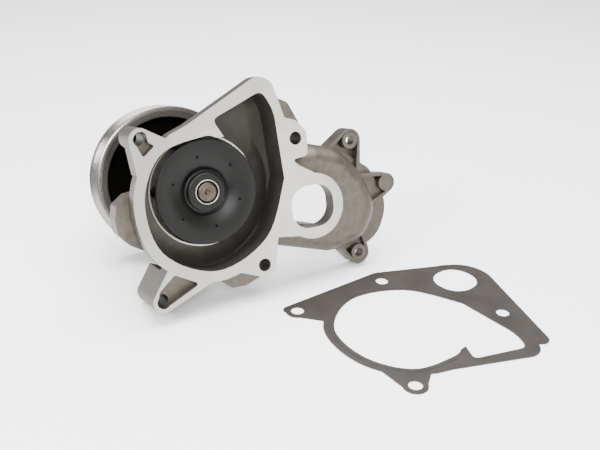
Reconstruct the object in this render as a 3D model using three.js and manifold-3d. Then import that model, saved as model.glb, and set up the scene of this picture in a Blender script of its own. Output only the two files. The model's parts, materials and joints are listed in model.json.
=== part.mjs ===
// Engine coolant pump with an integral thermostat bowl, lying on a bench beside its loose gasket.
//
// The pump is drawn in its own frame and then tipped on to the bench:
//   x  across the sealing face, y  along the shaft from the sealing face (0) back to the pulley,
//   z  up the sealing face. The shaft axis is x = z = 0.
// It rests on three points: the pulley rim, the lowest bowl ear and the lower left bolt column.
// Lengths are in millimetres.
import * as THREE from "three";
import { mergeVertices } from "three/addons/utils/BufferGeometryUtils.js";
import Module from "manifold-3d";

const wasm = await Module();
wasm.setup();

// ---------------------------------------------------------------- driving dimensions
const gap = 0.3; // between pieces that touch

// Sealing face: bolt places (M8 clearance), bypass port and the width of its land
const boltHoleR = 4.5;
const bolts = {
  upperRight: [66.4, 25.9],
  lowerRight: [33.4, -56.4],
  lowerLeft: [-40.0, -66.0],
  upperLeft: [-40.4, 40.6],
};
const earR = 7.3; // outer radius of the two long bolt columns
const shortEarR = 8.4; // outer radius of the lower right ear
const landWidth = 7.3; // machined land round the scroll
const flangeThick = 10;
const earPlate = 13; // how far back the web of a bolt ear reaches
const upperLeftDepth = 24;
const shortEarDepth = 20;
const columnReach = 19; // this far from its bolt the lower left web is as deep as its column

// Scroll: radius at each eighth of a turn, starting at +x and running with the flow
const scrollRadii = [55.0, 53.0, 53.2, 49.6, 43.3, 41.0, 36.6];
const floorStart = 12.5; // depth of the scroll's floor where the scroll starts
const floorEnd = 23.5; // and where it runs into the outlet
const outletFloor = 21; // beside the lip, above the tongue
const floorTurn = [150, 340]; // the floor falls between these angles, in degrees from +x with the flow
const outletTurn = [350, 430]; // and beside the lip it falls between these
const lipFront = 11; // of the thin lip round the well
const wallThick = 4;
const tongue = [15.2, 34.4];
const throatCorner = [8.6, 46.5];
const throatApex = [45.4, 61.0];
const hornApex = [50.7, 74.8]; // outer corner of the outlet's land

// Impeller and its well
const impellerR = 34.9;
const impellerFront = 2.6;
const impellerBack = 20.3;
const impellerThick = 2.2;
const vaneCount = 6;
const vaneThick = 2.2;
const vaneSweep = 0.95; // how far a vane turns between the hub and its tip, in radians
const hubR = 12.9;
const hubFront = 2.8;
const wellClearance = 1.4;
const wellR = impellerR + wellClearance;
const lipThick = 1;
const lipR = wellR + lipThick;
const wellFloor = impellerBack + 2.5;

// Shaft and its integral bearing, sizes of a common water pump bearing
const shaftR = 7.96;
const noseShaftR = shaftR - 1.56; // turned down for the impeller
const shaftFront = 1.6;
const bearingR = 15;
const bearingFront = 42;
const bearingLength = 38.5;
const bearingSealThick = 1.6;
const raceR = bearingR - 2.3; // bore of the outer ring
const shaftTrack = 0.46; // depth of the ball track in the shaft
const ringTrack = 0.5; // and in the outer ring
const trackHalf = 1.2; // half the width of a track's floor
const ballClearance = 0.25;
const rollerClearance = 0.22;
const ballR = (raceR + ringTrack - shaftR + shaftTrack) / 2 - ballClearance;
const rollerR = (raceR - shaftR) / 2 - rollerClearance;
const pocketClearance = 0.25; // round a ball or roller in its cage
const rollerLength = 9;
const rollingCount = 8;
const ballRow = bearingFront + 10;
const rollerRow = bearingFront + 26;

// Seal, between the well and the bearing
const sealBoreR = bearingR + 2.5;
const sealDepth = 13.5;
const cupWall = 0.8;
const carbonThick = 3;
const seatHeight = 3.2;

// Housing nose that carries the bearing
const noseR = bearingR + 5.5;
const noseRootR = 33;
const ribCount = 5;
const ribThick = 4.5;
const weepR = 2.5;
const weepAt = (wellFloor + sealDepth + bearingFront) / 2;

// Pulley: six-rib poly-V rim on a cup that opens towards the housing
const pulleyR = 54;
const pulleyBack = 104.5;
const pulleyWidth = 24.5;
const rimR = 45.6; // inner radius of the cup
const webThick = 4;
const ribPitch = 3.56;
const grooveCount = 6;
const grooveDepth = 2.6;
const pulleyHubR = 14;

// Thermostat bowl, open to the back
const bypass = { centre: [74.4, -22.8], width: 32.4, height: 29.6, corner: 12.5, lobe: 23 };
const bowl = {
  centre: [101.5, -26],
  bore: 22,
  floor: 11.5,
  front: 5,
  flangeFront: 20,
  back: 28,
  roundDeep: 14, // its front is rounded over this depth
  roundIn: 11, // and by this much inwards
};
const bowlEars = {
  top: { centre: [117.3, 15.9], r: 8.4, roots: [[95.5, 11.5], [123.5, -8]] },
  side: { centre: [144.6, -19.8], r: 7.2, roots: [[121, -9], [131, -36]] },
  foot: { centre: [116.2, -67.6], r: 8.4, roots: [[98, -59], [122, -50]] },
};
const bowlEarFront = 16;
const bowlEarHoleR = 3.3;
const earRib = 1.9;
const earBossR = 6.2;
const earWeb = 4;

// Gasket, lying turned over on the bench in front of the pump
const gasketThick = 0.8;
const gasketPlace = [101.7, -94.1]; // its shaft centre from the pump's
const gasketTurn = 0.256;
const beadHeight = 0.25;
const beadWidth = 2.2;
const beadInset = 1.2; // from the edge of the scroll opening

// ---------------------------------------------------------------- rest on the bench
const footReach = -(bowlEars.foot.centre[1] - bowlEars.foot.r);
const tilt = Math.atan2(footReach - pulleyR, pulleyBack - bowl.back);
const axisHeight = pulleyBack * Math.sin(tilt) + pulleyR * Math.cos(tilt);
const lowerLeftReach = -(bolts.lowerLeft[1] - earR);
const lowerLeftDepth = (axisHeight - lowerLeftReach * Math.cos(tilt)) / Math.sin(tilt);

// ---------------------------------------------------------------- shape helpers
const chord = 0.05; // detail finer than this is dropped
const fine = 44; // facets round a large turned surface
const coarse = 24; // facets round a small one
const past = 60; // a depth behind everything that a tool has to reach

// A closed geometry as a solid that can be joined and cut.
function solid(geometry) {
  const bare = geometry.index ? geometry.toNonIndexed() : geometry.clone();
  bare.deleteAttribute("normal");
  bare.deleteAttribute("uv");
  const merged = mergeVertices(bare, 1e-4);
  return new wasm.Manifold(
    new wasm.Mesh({
      numProp: 3,
      vertProperties: merged.attributes.position.array,
      triVerts: new Uint32Array(merged.index.array),
    }),
  );
}

const join = (...solids) => solids.reduce((all, next) => all.add(next));
const cut = (from, ...tools) => tools.reduce((left, tool) => left.subtract(tool), from);

// An outline drawn on the face, from depth y0 back to depth y1.
function plate(shape, y0, y1, options = {}) {
  const geometry = new THREE.ExtrudeGeometry(shape, {
    depth: y1 - y0,
    bevelEnabled: false,
    curveSegments: 6,
    ...options,
  });
  return solid(geometry.translate(0, 0, -y1).rotateX(Math.PI / 2));
}

// A round bar along the shaft direction.
function bar([x, z], r, y0, y1, facets = coarse) {
  const geometry = new THREE.CylinderGeometry(r, r, y1 - y0, facets);
  return solid(geometry.translate(x, (y0 + y1) / 2, z));
}

// A turned solid: the profile is a list of [radius, y].
function turned(profile, facets = fine) {
  const points = profile.map(([r, y]) => new THREE.Vector2(r, y));
  if (THREE.ShapeUtils.area(points) < 0) points.reverse();
  if (points.some((p) => p.x > 0) && points[0].x > 0) points.push(points[0].clone());
  return solid(new THREE.LatheGeometry(points, facets));
}

const ring = (inner, outer, y0, y1, facets = 32) =>
  turned([[inner, y0], [outer, y0], [outer, y1], [inner, y1]], facets);

// A closed outline of corners [x, z, radius]; a corner without a radius stays sharp.
function outline(corners) {
  const shape = new THREE.Shape();
  corners.forEach(([x, z, r = 0], i) => {
    const here = new THREE.Vector2(x, z);
    const before = new THREE.Vector2(...corners.at(i - 1)).sub(here);
    const after = new THREE.Vector2(...corners[(i + 1) % corners.length]).sub(here);
    const half = Math.acos(before.dot(after) / before.length() / after.length()) / 2;
    const reach = Math.min(r / Math.tan(half), 0.49 * before.length(), 0.49 * after.length());
    const start = here.clone().addScaledVector(before.normalize(), reach);
    const end = here.clone().addScaledVector(after.normalize(), reach);
    if (i === 0) shape.moveTo(start.x, start.y);
    else shape.lineTo(start.x, start.y);
    if (r === 0) return;
    const radius = reach * Math.tan(half);
    const centre = before.add(after).normalize().multiplyScalar(radius / Math.sin(half)).add(here);
    const from = start.sub(centre);
    const to = end.sub(centre);
    shape.absarc(centre.x, centre.y, radius, from.angle(), to.angle(), from.cross(to) < 0);
  });
  return shape;
}

// A round ear that runs tangentially out to two roots on the body.
function tab([x, z], r, roots) {
  const centre = new THREE.Vector2(x, z);
  const [one, two] = roots.map((root) => new THREE.Vector2(...root));
  const turn = Math.sign(one.clone().sub(centre).cross(two.clone().sub(centre)));
  const touch = (root, side) => {
    const out = root.clone().sub(centre);
    return out.angle() + side * Math.acos(Math.min(1, r / out.length()));
  };
  const from = touch(one, -turn);
  const to = touch(two, turn);
  const shape = new THREE.Shape();
  shape.moveTo(one.x, one.y);
  shape.lineTo(x + r * Math.cos(from), z + r * Math.sin(from));
  shape.absarc(x, z, r, from, to, turn > 0);
  shape.lineTo(two.x, two.y);
  return shape;
}

// How deep the scroll's floor lies, at its outer wall and at the lip, for an angle in degrees from
// +x; the angle runs with the flow, from the tongue once round to the outlet.
const fall = (angle, range, from, to) =>
  THREE.MathUtils.mapLinear(THREE.MathUtils.clamp(angle, ...range), ...range, from, to);
const outerFloor = (angle) => fall(angle, floorTurn, floorStart, floorEnd);
const innerFloor = (angle) => fall(angle, outletTurn, floorStart, outletFloor);

// A block bent round the shaft, with its back on the scroll's floor pushed back by a wall.
function floorBlock(fromAngle, toAngle, y0, wall) {
  const steps = Math.ceil((toAngle - fromAngle) / 12);
  const stations = [wellR - 6, lipR, scrollRadii[0] - 3, 1.9 * scrollRadii[0]];
  const geometry = new THREE.BoxGeometry(1, 1, 1, steps, 1, stations.length - 1);
  geometry.translate(0.5, 0.5, 0.5);
  const at = geometry.attributes.position;
  for (let i = 0; i < at.count; i++) {
    const angle = THREE.MathUtils.lerp(toAngle, fromAngle, at.getX(i));
    const r = stations[Math.round(at.getZ(i) * (stations.length - 1))];
    const back = (r <= lipR ? innerFloor(angle) : outerFloor(angle)) + wall;
    const y = at.getY(i) < 0.5 ? y0 : back;
    const turn = angle * THREE.MathUtils.DEG2RAD;
    at.setXYZ(i, r * Math.cos(turn), y, r * Math.sin(turn));
  }
  return solid(geometry);
}

// The room in front of the floor, once round and on into the outlet above the tongue.
function floorRoom(y0, wall) {
  const [tx, tz] = tongue;
  const start = Math.atan2(tz, tx) * THREE.MathUtils.RAD2DEG;
  const above = outline([[tx + 0.2, tz - 1], [tx - 20, tz + 2], [-20, 90], [90, 90], [90, tz - 1]]);
  return join(
    floorBlock(start, start + 185, y0, wall),
    floorBlock(start + 180, start + 361, y0, wall),
    floorBlock(start + 350, start + 385, y0, wall).intersect(plate(above, y0, past)),
  );
}

// Points along the scroll's outline, moved outwards by extra.
function scrollPoints(extra) {
  return scrollRadii.map((r, i) => {
    const angle = (-i * Math.PI) / 4;
    return new THREE.Vector2((r + extra) * Math.cos(angle), (r + extra) * Math.sin(angle));
  });
}

// The scroll without its outlet, closed straight across the tongue.
function scrollDisc(extra) {
  const points = scrollPoints(extra);
  const shape = new THREE.Shape([points[0]]);
  shape.splineThru(points.slice(1));
  return shape;
}

// The outside of the scroll behind the land, with its outlet.
function scrollShell(extra) {
  const shape = scrollDisc(extra);
  const [cx, cz] = throatCorner;
  const [ax, az] = throatApex;
  shape.lineTo(cx - 1, cz);
  shape.lineTo(ax - 2, az + 0.6 * extra);
  shape.lineTo(ax + extra + 1, az - 2);
  shape.lineTo(scrollRadii[0] + extra - 1, 40);
  return shape;
}

// The hollow of the scroll with its tongue and outlet.
function scrollHollow() {
  const points = scrollPoints(0);
  const [tx, tz] = tongue;
  const [cx, cz] = throatCorner;
  const [ax, az] = throatApex;
  const side = new THREE.Vector2(scrollRadii[0] - 2.2, 41);
  const shape = new THREE.Shape();
  shape.moveTo(tx, tz);
  shape.lineTo(cx + 2.2, cz - 4);
  shape.quadraticCurveTo(cx, cz, cx + 4, cz + 1.6);
  shape.lineTo(ax - 5, az - 2);
  shape.quadraticCurveTo(ax, az, ax + 3, az - 6.5);
  shape.quadraticCurveTo(side.x - 0.8, side.y + 7, side.x, side.y);
  shape.lineTo(points[0].x, points[0].y);
  shape.splineThru([...points.slice(1), new THREE.Vector2(tx - 5, tz + 0.4)]);
  shape.lineTo(tx, tz);
  return shape;
}

// ---------------------------------------------------------------- housing
// The land that meets the engine, as seen from the front; used for the gasket too.
function faceSolid(y0, y1) {
  const [bx, bz] = bypass.centre;
  const horn = outline([
    [-34, 10], [-24, 40, 8], [-9.3, 45.3, 20], [...hornApex, 11.5], [60.2, 40, 20], [62, 8], [20, -20],
  ]);
  const shoulder = outline([
    [50, 44], [60.2, 40.8, 4], [68, 38, 7], [75.3, 29.5, 7], [74.4, 12.8, 3.5], [62, 11.8, 1.5],
    [78, -3, 14], [bx, bz], [30, 0],
  ]);
  const neck = outline([
    [50, 11], [64, 9], [bx + 4, bz + bypass.lobe], [bx, bz - bypass.lobe], [66, -42.4, 8],
    [40, -38.5], [30, 0],
  ]);
  return join(
    plate(scrollDisc(landWidth), y0, y1),
    plate(horn, y0, y1),
    plate(shoulder, y0, y1),
    plate(neck, y0, y1),
    bar([bx + 0.9, bz], bypass.lobe, y0, y1, fine),
  );
}

function boltEars(depths, y0) {
  const roots = {
    lowerRight: [[46, -38], [14, -57.5]],
    lowerLeft: [[-32, -42], [0, -58]],
    upperLeft: [[-45.6, 18], [-24, 39]],
  };
  return Object.entries(roots).flatMap(([name, at]) => {
    const r = name === "lowerRight" ? shortEarR : earR;
    const shape = tab(bolts[name], r, at);
    const depth = depths[name];
    const web = plate(shape, y0, Math.min(earPlate, depth));
    if (depth <= earPlate) return [web];
    const reach = name === "lowerLeft" ? columnReach : r;
    const column = plate(shape, y0, depth).intersect(bar(bolts[name], reach, y0, depth));
    return [web, column, bar(bolts[name], r, y0, depth)];
  });
}

function bypassPort(y0, y1) {
  const [x, z] = bypass.centre;
  const w = bypass.width / 2;
  const h = bypass.height / 2;
  const r = bypass.corner;
  return plate(outline([[x - w, z - h, r], [x + w, z - h, r], [x + w, z + h, r], [x - w, z + h, r]]), y0, y1);
}

function bowlBody() {
  const dome = outline([
    [56, 16.5], [84, 18.5, 18], [106, 12, 26], [124, -9, 22], [133, -36, 22], [119, -57.5, 22],
    [92, -62, 24], [34, -44],
  ]);
  const flange = outline([
    [84, 12, 12], [112, 8.5, 20], [133, -7, 14], [146.5, -36, 24], [134, -63.5, 24], [104, -64, 16],
    [84, -58, 8],
  ]);
  const domeSolid = plate(dome, bowl.front + bowl.roundDeep, bowl.back, {
    bevelEnabled: true,
    bevelThickness: bowl.roundDeep,
    bevelSize: bowl.roundIn,
    bevelOffset: -bowl.roundIn,
    bevelSegments: 5,
  });
  const all = outline([[0, -120], [200, -120], [200, 120], [0, 120]]);
  const behind = plate(all, bowl.back, bowl.back + 2 * bowl.roundDeep);
  return join(cut(domeSolid, behind), plate(flange, bowl.flangeFront, bowl.back), ...bowlEarsSolid());
}

function bowlEarsSolid() {
  return Object.values(bowlEars).map(({ centre, r, roots }) => {
    const ear = plate(tab(centre, r, roots), bowlEarFront, bowl.back);
    const [x, z] = centre;
    const inward = roots.map(([rx, rz]) => {
      const other = roots.find((root) => root[0] !== rx);
      const toOther = new THREE.Vector2(other[0] - rx, other[1] - rz).setLength(2 * earRib);
      return [rx + toOther.x, rz + toOther.y];
    });
    const pocket = plate(tab(centre, r - earRib, inward), bowlEarFront - 1, bowl.back - earWeb);
    const boss = bar([x, z], Math.min(earBossR, r), bowlEarFront - 2, bowl.back);
    return cut(ear, pocket.subtract(boss));
  });
}

function bowlHollow() {
  const [x, z] = bowl.centre;
  const [px, pz] = bypass.centre;
  const r = bypass.height / 2;
  const back = bowl.back + 1;
  const between = outline([[px, pz - r], [x, z - bowl.bore + 2], [x, z + bowl.bore - 2], [px, pz + r]]);
  return join(
    bar([x, z], bowl.bore, bowl.floor, back, fine),
    bar([px, pz], r, bowl.floor, back),
    plate(between, bowl.floor, back),
  );
}

function nose() {
  const backOfWell = wellFloor + wallThick;
  const end = bearingFront + bearingLength + gap;
  const cone = turned([
    [0, floorStart], [wellR + wallThick, floorStart],
    [wellR + wallThick, backOfWell - 2],
    [wellR + wallThick - 2, backOfWell], [noseRootR, backOfWell + 1], [noseRootR - 6, backOfWell + 5],
    [noseR + 1.5, backOfWell + 12], [noseR, backOfWell + 16], [noseR, end - 1.5], [noseR - 1.5, end],
    [0, end],
  ]);
  const ribs = Array.from({ length: ribCount }, (_, i) => {
    const fin = new THREE.Shape([
      new THREE.Vector2(noseR - 2, backOfWell - 3),
      new THREE.Vector2(wellR + wallThick - 1, backOfWell - 3),
      new THREE.Vector2(wellR + wallThick, backOfWell + 1),
      new THREE.Vector2(noseR - 2, end - 14),
    ]);
    const geometry = new THREE.ExtrudeGeometry(fin, { depth: ribThick, bevelEnabled: false });
    geometry.translate(0, 0, -ribThick / 2).rotateY((i + 0.25) * 2 * Math.PI / ribCount);
    return solid(geometry);
  });
  return join(cone, ...ribs);
}

function housing() {
  const depths = { lowerRight: shortEarDepth, lowerLeft: lowerLeftDepth, upperLeft: upperLeftDepth };
  const rearBoss = outline([
    [48, 57, 4], [58, 55, 4], [67.5, 50, 5], [74.5, 35, 6], [79, 24, 4], [79, 4], [50, 4],
  ]);
  const underBoss = outline([[-6, -54], [10, -69, 4], [20, -69.5, 3], [36, -64, 3], [36, -44]]);
  const sidePad = outline([
    [-40, 6], [-50.5, 5, 1.5], [-58.5, -0.5, 3], [-60.5, -9, 8], [-60, -19, 6], [-53, -27.5, 4], [-36, -38],
  ]);
  const body = join(
    faceSolid(0, flangeThick),
    ...boltEars(depths, 0),
    floorRoom(flangeThick - 1, wallThick).intersect(plate(scrollShell(wallThick), 0, past)),
    bar(bolts.upperRight, shortEarR, 0, shortEarDepth),
    plate(rearBoss, flangeThick - 1, 25),
    plate(underBoss, 6, 26),
    plate(sidePad, 13, 27),
    bowlBody(),
    nose(),
  );
  const holes = Object.values(bolts).map((at) => bar(at, boltHoleR, -1, past));
  const lowerPocket = outline([
    [-30.5, -49.5, 2], [-14, -59, 1.5], [-37, -69.3, 3], [-44.6, -67.5, 4], [-42, -58.6, 3],
  ]);
  const upperPocket = outline([
    [-40, 29, 1.5], [-44.2, 39.5, 3], [-43, 45.5, 3], [-36.5, 45.5, 3], [-35.4, 38, 1], [-31.6, 35.6, 1],
  ]);
  const bowlEarHoles = [bowlEars.top, bowlEars.foot].flatMap(({ centre }) => [
    bar(centre, bowlEarHoleR, bowlEarFront - 1, bowl.back + 1),
    bar(centre, bowlEarHoleR + 1.6, bowlEarFront + 4, bowl.back + 1),
  ]);
  const sideThread = bar(bowlEars.side.centre, bowlEarHoleR, bowlEarFront + 3, bowl.back + 1);
  const weep = new THREE.CylinderGeometry(weepR, weepR, 2 * noseR, coarse);
  weep.rotateX(Math.PI / 2).translate(0, weepAt, -noseR);
  const hollowed = cut(
    body,
    floorRoom(-1, 0).intersect(plate(scrollHollow(), -1, past)),
    bar([0, 0], wellR, -1, wellFloor, fine),
    bar([0, 0], sealBoreR, wellFloor - 1, bearingFront - gap - 1, fine),
    bar([0, 0], bearingR + gap, wellFloor, bearingFront + bearingLength + 3, fine),
    ...holes,
    plate(lowerPocket, -1, 6),
    plate(upperPocket, -1, 7),
    bypassPort(-1, bowl.floor + 1),
    bowlHollow(),
    ...bowlEarHoles,
    sideThread,
    solid(weep),
  );
  return join(hollowed, ring(wellR, lipR, lipFront, floorStart + 1, fine));
}

// ---------------------------------------------------------------- rotating pieces
function shaft() {
  const end = pulleyBack - 1;
  const shoulder = impellerBack - 0.8;
  return turned([
    [0, shaftFront + 2.2], [1.4, shaftFront + 1.0], [1.6, shaftFront], [noseShaftR - 0.7, shaftFront],
    [noseShaftR, shaftFront + 0.7], [noseShaftR, shoulder], [shaftR, shoulder + 0.8],
    [shaftR, ballRow - ballR],
    [shaftR - shaftTrack, ballRow - trackHalf], [shaftR - shaftTrack, ballRow + trackHalf],
    [shaftR, ballRow + ballR], [shaftR, end - 1], [shaftR - 1, end], [0, end],
  ], coarse);
}

const insertR = noseShaftR + gap; // bore of the impeller's steel insert
const insertWall = 1.5;
const impellerBore = insertR + insertWall + gap;

// The disc's front surface: a shallow dish that falls to a groove round the hub.
const groove = impellerFront + 5;
const dish = [
  [hubR, groove - 0.4], [hubR + 1.4, groove], [hubR + 3.8, groove - 1.6],
  [impellerR - 11.9, impellerFront + 1.1], [impellerR - 5.9, impellerFront + 0.2], [impellerR, impellerFront],
];

function impeller() {
  const back = dish.map(([r, y]) => [r, y + impellerThick]).reverse();
  const disc = turned([
    [impellerBore, hubFront], [hubR - 0.8, hubFront], [hubR, hubFront + 0.8], ...dish, ...back.slice(0, -1),
    [hubR - 0.4, groove + impellerThick + 0.6], [hubR - 0.4, impellerBack], [impellerBore, impellerBack],
  ]);
  const underDisc = dish.map(([r, y]) => [r, y + 1]).reverse();
  const inFront = turned([[0, -1], [impellerR + 2, -1], ...underDisc, [0, groove]]);
  const vanes = Array.from({ length: vaneCount }, (_, i) => {
    const sweep = (r) => vaneSweep * ((r - hubR + 1) / (impellerR - hubR)) ** 0.8;
    const side = (offset) =>
      [0, 0.3, 0.53, 0.8, 1].map((part) => {
        const r = THREE.MathUtils.lerp(hubR - 0.8, impellerR - 0.6, part);
        const a = sweep(r) + offset / r + (i * 2 * Math.PI) / vaneCount;
        return new THREE.Vector2(r * Math.cos(a), r * Math.sin(a));
      });
    const blade = new THREE.Shape([...side(-vaneThick / 2), ...side(vaneThick / 2).reverse()]);
    return plate(blade, impellerFront + 0.5, impellerBack);
  });
  return join(disc, cut(join(...vanes), inFront));
}

function pulley() {
  const front = pulleyBack - pulleyWidth;
  const ribs = front + (pulleyWidth - ribPitch * grooveCount) / 2;
  const grooves = Array.from({ length: grooveCount }, (_, i) => {
    const at = ribs + (i + 0.5) * ribPitch;
    const flank = ribPitch / 2 - 0.35;
    return [[pulleyR - 0.6, at - flank], [pulleyR - 0.6 - grooveDepth, at], [pulleyR - 0.6, at + flank]];
  }).flat();
  const web = pulleyBack - webThick - 1;
  const inside = [
    [shaftR + gap, front + 4], [pulleyHubR, front + 4], [pulleyHubR, web - 5], [pulleyHubR + 6, web],
    [rimR - 3, web], [rimR, web - 3], [rimR, front + 1], [rimR + 1, front],
  ];
  const rim = [
    [pulleyR - 0.8, front], [pulleyR, front + 0.8], [pulleyR, ribs - 0.2], ...grooves,
    [pulleyR, pulleyBack - 1.6], [pulleyR, pulleyBack - 0.8], [pulleyR - 0.8, pulleyBack],
  ];
  const outside = [
    [rimR - 1, pulleyBack], [rimR - 4, pulleyBack - 1], [pulleyHubR + 2, pulleyBack - 1],
    [pulleyHubR + 1, pulleyBack], [shaftR + gap, pulleyBack],
  ];
  return turned([...inside, ...rim, ...outside]);
}

// ---------------------------------------------------------------- seal
const seatBack = wellFloor + seatHeight;
const sealBack = wellFloor + sealDepth;

function sealCup() {
  const outer = sealBoreR - gap;
  const inner = shaftR + 1.5;
  const lip = wellFloor - gap;
  return turned([
    [outer - cupWall, lip - cupWall], [outer + 2.3, lip - cupWall], [outer + 2.3, lip], [outer, lip],
    [outer, sealBack], [inner, sealBack], [inner, sealBack - cupWall], [outer - cupWall, sealBack - cupWall],
  ], 36);
}

function sealSpring() {
  const wireR = 0.6;
  const coilR = sealBoreR - gap - cupWall - gap - wireR - 0.2;
  const turns = 4;
  const start = seatBack + 2;
  const pitch = (sealBack - cupWall - gap - start - 2 * wireR) / turns;
  const points = Array.from({ length: turns * 12 + 1 }, (_, i) => {
    const a = (i / 12) * 2 * Math.PI;
    return new THREE.Vector3(coilR * Math.cos(a), start + wireR + (pitch * i) / 12, coilR * Math.sin(a));
  });
  const section = new THREE.Shape();
  section.absarc(0, 0, wireR, 0, 2 * Math.PI);
  return solid(new THREE.ExtrudeGeometry(section, {
    extrudePath: new THREE.CatmullRomCurve3(points),
    steps: turns * 12,
    curveSegments: 3,
    bevelEnabled: false,
  }));
}

// ---------------------------------------------------------------- rolling elements
const ballPitchR = (shaftR - shaftTrack + raceR + ringTrack) / 2;
const rollerPitchR = (shaftR + raceR) / 2;
const around = (i, r, y) => {
  const a = (i * 2 * Math.PI) / rollingCount;
  return [r * Math.cos(a), y, r * Math.sin(a)];
};

function outerRing() {
  const end = bearingFront + bearingLength;
  const trackR = raceR + ringTrack;
  return turned([
    [bearingR - 0.5, bearingFront], [bearingR, bearingFront + 0.5], [bearingR, end - 0.5],
    [bearingR - 0.5, end], [raceR, end], [raceR, ballRow + ballR], [trackR, ballRow + trackHalf],
    [trackR, ballRow - trackHalf], [raceR, ballRow - ballR], [raceR, bearingFront],
  ], 36);
}

function ballCage() {
  const rim = ring(ballPitchR - 0.9, ballPitchR + 0.9, ballRow - 1, ballRow + ballR + 1.8);
  const pockets = Array.from({ length: rollingCount }, (_, i) => {
    const ball = new THREE.SphereGeometry(ballR + pocketClearance, 12, 8);
    return solid(ball.translate(...around(i, ballPitchR, ballRow)));
  });
  return cut(rim, ...pockets);
}

function rollerCage() {
  const half = rollerLength / 2;
  const rim = ring(rollerPitchR - 1, rollerPitchR + 1, rollerRow - half - 2, rollerRow + half + 2);
  const pockets = Array.from({ length: rollingCount }, (_, i) => {
    const [x, , z] = around(i, rollerPitchR, rollerRow);
    return bar([x, z], rollerR + pocketClearance, rollerRow - half - gap, rollerRow + half + gap, 12);
  });
  return cut(rim, ...pockets);
}

// ---------------------------------------------------------------- gasket
function gasket() {
  const [bx, bz] = bypass.centre;
  const sheetTop = gasketThick - beadHeight;
  const straight = outline([
    [62, 69.5, 6], [bx + bypass.lobe + 12.6, bz - 7.2, 24], [38, -68, 14], [bolts.lowerLeft[0] - 8, -75.2, 4],
    [-46.5, -62, 3], [-10, -50], [20, 40],
  ]);
  const sheet = join(
    faceSolid(0, sheetTop),
    plate(straight, 0, sheetTop),
    ...boltEars({ lowerRight: sheetTop, lowerLeft: sheetTop, upperLeft: sheetTop }, 0),
    bar(bolts.lowerLeft, earR + 0.8, 0, sheetTop),
    bar(bolts.upperLeft, earR + 0.8, 0, sheetTop),
  );
  const holes = Object.values(bolts).map((at) => bar(at, boltHoleR, -1, 3));
  const port = outline([
    [bx - 13.8, bz - 15.5, 14], [bx + 17, bz - 15.5, 14],
    [bx + 17, bz + 14.6, 14], [bx - 13.8, bz + 14.6, 14],
  ]);
  const flat = cut(sheet, ...holes, plate(port, -1, 3));
  const beadBand = cut(
    plate(scrollDisc(beadInset + beadWidth), 0, gasketThick),
    plate(scrollDisc(beadInset), -1, 3),
  );
  return cut(join(flat, beadBand), plate(scrollHollow(), -1, 3));
}

// ---------------------------------------------------------------- materials
const finish = (color, metalness, roughness) =>
  new THREE.MeshStandardMaterial({ color, metalness, roughness });
const finishes = {
  casting: () => finish(0x9c958b, 0.7, 0.55),
  steel: () => finish(0xb9b7b2, 1.0, 0.28),
  impeller: () => finish(0x2f2f2e, 0.0, 0.45),
  rubber: () => finish(0x1d1d1d, 0.0, 0.7),
  carbon: () => finish(0x26272a, 0.0, 0.35),
  ceramic: () => finish(0xd9d5c8, 0.0, 0.3),
  stainless: () => finish(0xc3c1bb, 1.0, 0.3),
  cage: () => finish(0xb8a070, 0.0, 0.5),
  gasket: () => finish(0x5e5955, 0.2, 0.6),
};

// ---------------------------------------------------------------- assembly
const pump = new THREE.Group();
const gasketGroup = new THREE.Group();

function piece(name, made, material, parent = pump, place = [0, 0, 0]) {
  const { vertProperties, triVerts } = made.asOriginal().simplify(chord).getMesh();
  const geometry = new THREE.BufferGeometry();
  geometry.setAttribute("position", new THREE.BufferAttribute(vertProperties, 3));
  geometry.setIndex(new THREE.BufferAttribute(triVerts, 1));
  geometry.computeVertexNormals();
  const mesh = new THREE.Mesh(geometry, material());
  mesh.name = name;
  mesh.position.set(...place);
  parent.add(mesh);
}

piece("pump_housing", housing(), finishes.casting);
piece("bearing_outer_ring", outerRing(), finishes.steel);
const bearingSeal = (front) => ring(shaftR + gap, raceR - gap, front, front + bearingSealThick);
piece("bearing_seal_front", bearingSeal(bearingFront + 1), finishes.rubber);
piece("bearing_seal_rear", bearingSeal(bearingFront + bearingLength - 1 - bearingSealThick), finishes.rubber);
piece("seal_cup", sealCup(), finishes.stainless);
const carbonFront = seatBack + gap;
const carbonRing = ring(shaftR + 2, shaftR + 4.8, carbonFront, carbonFront + carbonThick);
piece("seal_carbon_ring", carbonRing, finishes.carbon);
const bellows = ring(shaftR + 1.4, shaftR + 4.4, carbonFront + carbonThick + gap, sealBack - cupWall - gap);
piece("seal_bellows", bellows, finishes.rubber);
piece("seal_spring", sealSpring(), finishes.stainless);

piece("pump_shaft", shaft(), finishes.steel);
piece("impeller", impeller(), finishes.impeller);
const insert = ring(insertR, insertR + insertWall, hubFront - 0.6, impellerBack - 1.2);
piece("impeller_insert", insert, finishes.stainless);
piece("seal_seat_ring", ring(shaftR + 2.5, shaftR + 5.4, wellFloor, seatBack), finishes.ceramic);
const bootFront = impellerBack + gap;
piece("seal_seat_boot", turned([
  [shaftR + gap, bootFront], [shaftR + 5.4, bootFront], [shaftR + 5.4, wellFloor - gap],
  [shaftR + 2.2, wellFloor - gap], [shaftR + 2.2, seatBack], [shaftR + gap, seatBack],
], 32), finishes.rubber);
piece("pulley", pulley(), finishes.steel);

piece("ball_cage", ballCage(), finishes.cage);
piece("roller_cage", rollerCage(), finishes.cage);
for (let i = 0; i < rollingCount; i++) {
  const ball = new THREE.SphereGeometry(ballR, 10, 7);
  piece(`ball_${i + 1}`, solid(ball), finishes.steel, pump, around(i, ballPitchR, ballRow));
  const roller = new THREE.CylinderGeometry(rollerR, rollerR, rollerLength, 12);
  piece(`roller_${i + 1}`, solid(roller), finishes.steel, pump, around(i, rollerPitchR, rollerRow));
}

piece("gasket", gasket(), finishes.gasket, gasketGroup);

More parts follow.
